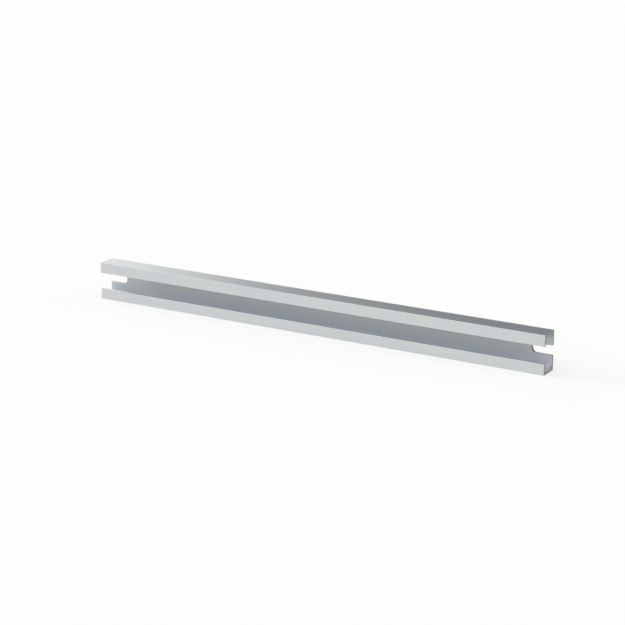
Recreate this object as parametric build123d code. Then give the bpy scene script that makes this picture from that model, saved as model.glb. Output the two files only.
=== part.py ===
from build123d import *
import os

# Mounting profile rail: one extruded bar with an open C section, cut to length. It lies along X and
# stands on its lower flange. The open side of the C faces -Y and its web is at the back. The origin
# is on the underside, at mid length and mid depth. All sizes are in millimetres.

# Bar as cut to length
rail_length = 362.0

# Outside of the section
rail_height = 28.0
rail_depth = 15.0

# Walls of the section
web_thickness = 2.0
flange_thickness = 2.0
lip_thickness = 2.0

# Open mouth between the two lips
mouth_height = 12.0

# Guide ribs in the two rear corners, which keep a bolt head or sliding nut in line
rib_depth = 5.0
rib_height = 2.0

# Edges of the section, as the die leaves them
edge_radius = 0.2

# Open-ended slot in the web at each end, for a fixing screw
end_slot_width = 7.0
end_slot_length = 14.8

# Places that follow from the sizes
middle_z = rail_height / 2
front_y = -rail_depth / 2
back_y = rail_depth / 2
lip_inner_y = front_y + lip_thickness
web_inner_y = back_y - web_thickness
chamber_depth = web_inner_y - lip_inner_y
chamber_height = rail_height - 2 * flange_thickness

with BuildPart() as rail:
    # The section is drawn on the YZ plane: depth runs across the sketch and height runs up it
    with BuildSketch(Plane.YZ) as section:
        with Locations((0, middle_z)):
            Rectangle(rail_depth, rail_height)

        # Chamber behind the lips
        with Locations((lip_inner_y, middle_z)):
            Rectangle(chamber_depth, chamber_height, align=(Align.MIN, Align.CENTER), mode=Mode.SUBTRACT)

        # Mouth between the lips
        with Locations((front_y, middle_z)):
            Rectangle(lip_thickness, mouth_height, align=(Align.MIN, Align.CENTER), mode=Mode.SUBTRACT)

        # One rib on the floor of the chamber, one under its roof, both against the web
        with Locations((web_inner_y, flange_thickness)):
            Rectangle(rib_depth, rib_height, align=(Align.MAX, Align.MIN))
        with Locations((web_inner_y, rail_height - flange_thickness)):
            Rectangle(rib_depth, rib_height, align=(Align.MAX, Align.MAX))

        fillet(section.vertices(), edge_radius)
    extrude(amount=rail_length / 2, both=True)

    # The end slots go through the web only: a half round of the screw's width, open to the cut end
    with BuildSketch(Plane.XZ.offset(-web_inner_y)) as end_slots:
        for end in (-1, 1):
            with Locations((end * (rail_length / 2 - end_slot_length + end_slot_width / 2), middle_z)):
                Circle(end_slot_width / 2)
            with Locations((end * (rail_length / 2 - (end_slot_length - end_slot_width / 2) / 2), middle_z)):
                Rectangle(end_slot_length - end_slot_width / 2, end_slot_width)
    extrude(amount=-web_thickness, mode=Mode.SUBTRACT)

rail.part.label = "profile_rail"

os.makedirs("parts", exist_ok=True)
export_step(rail.part, "parts/profile_rail.step")
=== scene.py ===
import bpy
from math import pi, radians
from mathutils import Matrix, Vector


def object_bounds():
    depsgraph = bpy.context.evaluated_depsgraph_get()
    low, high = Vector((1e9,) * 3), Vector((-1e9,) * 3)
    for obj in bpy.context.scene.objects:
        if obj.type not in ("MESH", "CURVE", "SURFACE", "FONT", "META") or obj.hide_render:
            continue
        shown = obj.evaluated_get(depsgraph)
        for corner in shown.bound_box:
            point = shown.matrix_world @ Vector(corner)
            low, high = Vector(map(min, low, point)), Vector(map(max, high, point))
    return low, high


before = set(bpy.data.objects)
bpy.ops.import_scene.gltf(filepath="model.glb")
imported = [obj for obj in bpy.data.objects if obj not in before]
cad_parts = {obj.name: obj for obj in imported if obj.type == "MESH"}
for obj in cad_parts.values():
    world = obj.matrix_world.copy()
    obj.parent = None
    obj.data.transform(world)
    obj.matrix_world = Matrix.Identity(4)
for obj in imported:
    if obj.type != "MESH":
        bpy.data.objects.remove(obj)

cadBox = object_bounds()
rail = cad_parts["profile_rail"]
bpy.ops.object.select_all(action='DESELECT')
print("rail loaded")


def hexToLinear(code):
    # sRGB hex to the linear colour that a shader takes
    values = [int(code[i:i + 2], 16) / 255 for i in (1, 3, 5)]
    return [v / 12.92 if v <= 0.04045 else ((v + 0.055) / 1.055) ** 2.4 for v in values] + [1.0]


def addNode(tree, kind, settings=None, inputs=None):
    # settings go on the node itself, inputs on its sockets: another node's socket is linked, a node by
    # itself stands for its first output, a hex colour is turned to linear, and the rest is typed in
    node = tree.nodes.new(kind)
    for name, value in (settings or {}).items():
        setattr(node, name, value)
    for name, value in (inputs or {}).items():
        if isinstance(value, bpy.types.Node):
            value = value.outputs[0]
        if isinstance(value, bpy.types.NodeSocket):
            tree.links.new(value, node.inputs[name])
        elif isinstance(value, str):
            node.inputs[name].default_value = hexToLinear(value)
        else:
            node.inputs[name].default_value = value
    return node


# a Mix node's sockets share their names, so they go by number
valueA, valueB = 2, 3
colourA, colourB, colourOut = 6, 7, 2

# clear anodised aluminium 6060, extruded: the die leaves straight hairlines along the bar, and the etch
# before anodising turns its mirror into a soft, even sheen
anodised = {
    "colour": "#d5d8d9",         # pale grey with a cool cast
    "metallic": 1.0,
    "roughness": 0.36,
    "roughnessSpread": 0.04,     # up and down from that, from one die line to the next
    "lineColour": "#cacfd1",     # the same metal in the trough of a die line
    "dieLineWidth": 0.9,         # mm; real ones are 0.1 mm, drawn this coarse so that they show
    "dieLineLength": 90.0,       # mm
    "dieLineDepth": 0.004,       # mm
    "cloudColour": "#cbd0d3",    # where the etch bit a little deeper
    "cloudSize": 22.0,           # mm
    "cloudNoise": (0.45, 0.75),  # noise at which a cloud begins and is full
    "cloudShare": 0.6,           # of its colour that a full cloud shows
    "edgeHighlightAndWearColour": "#f4f6f6",     # rounded edges: a painted highlight, with a little wear from handling
    "edgeFacing": (0.05, 0.4),   # back times up: where a rounded edge begins and is full
    "wall": 0.002,               # m, the rail's own walls
    "hair": 0.0001,              # m past the walls' inner faces, so that they count as inside
    "chamberColour": "#c7cacb",  # inside the channel the oxide is left more matte
    "chamberMetallic": 0.2,
    "chamberRoughness": 0.55,
    "cutFacing": (0.2, 0.8),     # along the bar: where a cut begins and is full
    "sawnShadeColour": "#92979b",     # cut ends: bare metal scored by the saw, its grey and the marks' grey painted dark as the shade the ends show
    "sawMarkColour": "#84898e",
    "sawnRoughness": 0.5,
    "sawMarkSpacing": 0.789,     # mm
    "sawMarkTurn": 25.0,         # degrees
    "sawMarkWander": 2.5,
    "sawnDepth": 0.0005,         # m: a cut this near the rail's end is sawn, one further in is milled
    "slotEndShadeColour": "#4f5256",   # closed ends of the two slots: bare metal, painted near black as the shade inside the slots
}


def makeAnodised(finish):
    mat = bpy.data.materials.new("anodisedAluminium")
    mat.use_nodes = True
    tree = mat.node_tree
    tree.nodes.clear()
    mm = 1000.0            # in a metre, which is the unit of Object coordinates
    waveSpacing = pi / 10  # from band to band of a Wave node at scale 1
    asColour = {'data_type': 'RGBA'}
    length, depth, height = [high - low for low, high in zip(*cadBox)]
    coords = addNode(tree, 'ShaderNodeTexCoord')
    place = coords.outputs['Object']
    x, y, z = addNode(tree, 'ShaderNodeSeparateXYZ', inputs={0: place}).outputs

    # which way the surface faces: only a rounded edge faces both back and up, and only a cut faces
    # along the bar
    facing = addNode(tree, 'ShaderNodeVectorMath', {'operation': 'ABSOLUTE'}, {0: coords.outputs['Normal']})
    facingX, facingY, facingZ = addNode(tree, 'ShaderNodeSeparateXYZ', inputs={0: facing}).outputs
    # the painted edge highlight goes where a face turns both back and up
    rounded = addNode(tree, 'ShaderNodeMath', {'operation': 'MULTIPLY'}, {0: facingY, 1: facingZ})
    begins, full = finish["edgeFacing"]
    edge = addNode(tree, 'ShaderNodeMapRange', inputs={
        'Value': rounded, 'From Min': begins, 'From Max': full})
    begins, full = finish["cutFacing"]
    cut = addNode(tree, 'ShaderNodeMapRange', inputs={
        'Value': facingX, 'From Min': begins, 'From Max': full})
    alongBar = addNode(tree, 'ShaderNodeMath', {'operation': 'ABSOLUTE'}, {0: x})
    # the closed slot ends, which get the darkest painted shade
    milled = addNode(tree, 'ShaderNodeMath', {'operation': 'LESS_THAN'}, {
        0: alongBar, 1: length / 2 - finish["sawnDepth"]})

    # inside the channel, behind the lips and between the flanges
    inset = finish["wall"] - finish["hair"]
    deep = addNode(tree, 'ShaderNodeMath', {'operation': 'ABSOLUTE'}, {0: y})
    behindLips = addNode(tree, 'ShaderNodeMath', {'operation': 'LESS_THAN'}, {0: deep, 1: depth / 2 - inset})
    offMiddle = addNode(tree, 'ShaderNodeMath', {'operation': 'SUBTRACT'}, {0: z, 1: height / 2})
    farUp = addNode(tree, 'ShaderNodeMath', {'operation': 'ABSOLUTE'}, {0: offMiddle})
    betweenFlanges = addNode(tree, 'ShaderNodeMath', {'operation': 'LESS_THAN'}, {
        0: farUp, 1: height / 2 - inset})
    inside = addNode(tree, 'ShaderNodeMath', {'operation': 'MULTIPLY'}, {0: behindLips, 1: betweenFlanges})

    # die lines run the whole way along, clouds of the etch are about as long as they are wide
    lineScale = [mm / finish["dieLineLength"], mm / finish["dieLineWidth"], mm / finish["dieLineWidth"]]
    stretched = addNode(tree, 'ShaderNodeMapping', inputs={'Vector': place, 'Scale': lineScale})
    lines = addNode(tree, 'ShaderNodeTexNoise', inputs={'Vector': stretched, 'Scale': 1.0, 'Detail': 2.0})
    clouds = addNode(tree, 'ShaderNodeTexNoise', inputs={
        'Vector': place, 'Scale': mm / finish["cloudSize"], 'Detail': 3.0})
    begins, full = finish["cloudNoise"]
    cloudy = addNode(tree, 'ShaderNodeMapRange', inputs={
        'Value': clouds, 'From Min': begins, 'From Max': full, 'To Max': finish["cloudShare"]})

    # the saw crossed the bar at a slant
    slanted = addNode(tree, 'ShaderNodeMapping', inputs={
        'Vector': place, 'Rotation': (radians(finish["sawMarkTurn"]), 0, 0)})
    sawMarks = addNode(tree, 'ShaderNodeTexWave', {'bands_direction': 'Z'}, {
        'Vector': slanted, 'Scale': mm * waveSpacing / finish["sawMarkSpacing"],
        'Distortion': finish["sawMarkWander"], 'Detail': 2.0, 'Detail Scale': 0.4}).outputs[1]

    # the skin of the bar, each finish laid over the one before and the painted edge highlight last, and the
    # bare metal of the cuts with its painted shade
    skin = addNode(tree, 'ShaderNodeMix', asColour, {
        'Factor': lines, colourA: finish["lineColour"], colourB: finish["colour"]})
    for share, over in ((cloudy, "cloudColour"), (inside, "chamberColour"), (edge, "edgeHighlightAndWearColour")):
        skin = addNode(tree, 'ShaderNodeMix', asColour, {
            'Factor': share, colourA: skin.outputs[colourOut], colourB: finish[over]})
    # the cut ends' grey is painted shade; the saw marks laid in it are real
    sawn = addNode(tree, 'ShaderNodeMix', asColour, {
        'Factor': sawMarks, colourA: finish["sawMarkColour"], colourB: finish["sawnShadeColour"]})
    bare = addNode(tree, 'ShaderNodeMix', asColour, {
        'Factor': milled, colourA: sawn.outputs[colourOut], colourB: finish["slotEndShadeColour"]})
    colour = addNode(tree, 'ShaderNodeMix', asColour, {
        'Factor': cut, colourA: skin.outputs[colourOut], colourB: bare.outputs[colourOut]})

    smoother = finish["roughness"] - finish["roughnessSpread"]
    rougher = finish["roughness"] + finish["roughnessSpread"]
    streaky = addNode(tree, 'ShaderNodeMapRange', inputs={
        'Value': lines, 'To Min': smoother, 'To Max': rougher})
    matte = addNode(tree, 'ShaderNodeMix', inputs={
        'Factor': inside, valueA: streaky, valueB: finish["chamberRoughness"]})
    rough = addNode(tree, 'ShaderNodeMix', inputs={
        'Factor': cut, valueA: matte, valueB: finish["sawnRoughness"]})
    metallic = addNode(tree, 'ShaderNodeMix', inputs={
        'Factor': inside, valueA: finish["metallic"], valueB: finish["chamberMetallic"]})
    relief = addNode(tree, 'ShaderNodeMix', inputs={'Factor': cut, valueA: lines, valueB: sawMarks})
    bump = addNode(tree, 'ShaderNodeBump', inputs={
        'Height': relief, 'Distance': finish["dieLineDepth"] / mm, 'Strength': 1.0})
    shader = addNode(tree, 'ShaderNodeBsdfPrincipled', inputs={
        'Base Color': colour.outputs[colourOut], 'Roughness': rough, 'Metallic': metallic, 'Normal': bump})
    addNode(tree, 'ShaderNodeOutputMaterial', inputs={'Surface': shader})
    return mat


rail.material_slots[0].material = makeAnodised(anodised)
print("aluminium on the rail")

# a product studio: the rail stands on a light table, in front of a lit panel and a grey flag
studio = {
    "floorColour": "#faf9f8",   # opal table, which glows more than it is lit, so shadows stay soft
    "floorGlow": 0.75,          # share of its light that comes from inside
    "floorSize": 12.0,          # m
    "roomColour": "#f2f0ed",    # the room low down, overhead and all round
    "walls": [
        # what stands round the rail: degrees from straight back, seen from above, colour, brightness
        (-83.0, "#f2f0ed", 1.0),
        (-68.0, "#fffefd", 1.46),   # a lit panel behind the rail to the left
        (-35.0, "#fffefd", 1.46),
        (-34.0, "#7c8086", 1.0),    # a grey flag behind it to the right
        (15.0, "#7c8086", 1.0),
        (40.0, "#f2f0ed", 1.0),
    ],
    "wallFoot": (0.02, 0.08),   # height as a sine: where panel and flag begin and are full
    "wallHead": (0.60, 0.85),   # where they begin to fade again and are gone
    "lamps": {
        # colour, W/m2, degrees across, turn in degrees
        "frontLamp": ("#9bc3ff", 0.74, 36.0, (53, 0, -15)),     # cool
        "sideLamp": ("#fafdf2", 2.35, 24.0, (72, 0, -80)),      # low at the left end, along the channel
    },
    "cameraPlace": (0.64023, -1.08337, 0.38866),    # m
    "cameraTurn": (73.437, 0, 30.606),              # degrees
    "cameraLens": 106.73,                           # mm
    "cameraNear": 0.05,                             # m
}

bpy.ops.mesh.primitive_plane_add(size=studio["floorSize"], location=(0, 0, 0))
floor = bpy.context.object
floor.name = "floor"
table = bpy.data.materials.new("lightTable")
table.use_nodes = True
opal = table.node_tree
opal.nodes.clear()
glow = addNode(opal, 'ShaderNodeEmission', inputs={'Color': studio["floorColour"], 'Strength': 1.0})
lit = addNode(opal, 'ShaderNodeBsdfDiffuse', inputs={'Color': studio["floorColour"]})
both = addNode(opal, 'ShaderNodeMixShader', inputs={0: studio["floorGlow"], 1: lit, 2: glow})
addNode(opal, 'ShaderNodeOutputMaterial', inputs={'Surface': both})
floor.data.materials.append(table)

world = bpy.data.worlds.new("studioRoom")
bpy.context.scene.world = world
world.use_nodes = True
room = world.node_tree
room.nodes.clear()
direction = addNode(room, 'ShaderNodeTexCoord').outputs['Generated']
right, back, up = addNode(room, 'ShaderNodeSeparateXYZ', inputs={0: direction}).outputs
turn = addNode(room, 'ShaderNodeMath', {'operation': 'ARCTAN2'}, {0: right, 1: back})
around = addNode(room, 'ShaderNodeMapRange', inputs={'Value': turn, 'From Min': -pi, 'From Max': pi})
walls = addNode(room, 'ShaderNodeValToRGB', inputs={0: around})
stops = walls.color_ramp.elements
while len(stops) < len(studio["walls"]):
    stops.new(1.0)
for stop, (degrees, colour, brightness) in zip(stops, studio["walls"]):
    stop.position = (degrees + 180.0) / 360.0
    stop.color = [brightness * v for v in hexToLinear(colour)]

# panel and flag stand in a band above the floor, which fades at its foot and its head
smooth = {'interpolation_type': 'SMOOTHSTEP'}
begins, full = studio["wallFoot"]
foot = addNode(room, 'ShaderNodeMapRange', smooth, {'Value': up, 'From Min': begins, 'From Max': full})
fades, gone = studio["wallHead"]
head = addNode(room, 'ShaderNodeMapRange', smooth, {
    'Value': up, 'From Min': fades, 'From Max': gone, 'To Min': 1.0, 'To Max': 0.0})
band = addNode(room, 'ShaderNodeMath', {'operation': 'MULTIPLY'}, {0: foot, 1: head})
light = addNode(room, 'ShaderNodeMix', {'data_type': 'RGBA'}, {
    'Factor': band, colourA: studio["roomColour"], colourB: walls})
sky = addNode(room, 'ShaderNodeBackground', inputs={'Color': light.outputs[colourOut], 'Strength': 1.0})
addNode(room, 'ShaderNodeOutputWorld', inputs={'Surface': sky})

# both lamps stand behind a polarising film, which keeps their hard glints off the metal from every side
for name, (colour, strength, across, turned) in studio["lamps"].items():
    bpy.ops.object.light_add(type='SUN', rotation=[radians(a) for a in turned])
    lamp = bpy.context.object
    lamp.name = name
    lamp.visible_glossy = False
    lamp.data.color = hexToLinear(colour)[:3]
    lamp.data.energy = strength
    lamp.data.angle = radians(across)

bpy.ops.object.camera_add(
    location=studio["cameraPlace"], rotation=[radians(a) for a in studio["cameraTurn"]])
camera = bpy.context.object
camera.data.lens = studio["cameraLens"]
camera.data.clip_start = studio["cameraNear"]
bpy.context.scene.camera = camera
bpy.context.scene.view_settings.view_transform = 'Standard'
print("studio set")
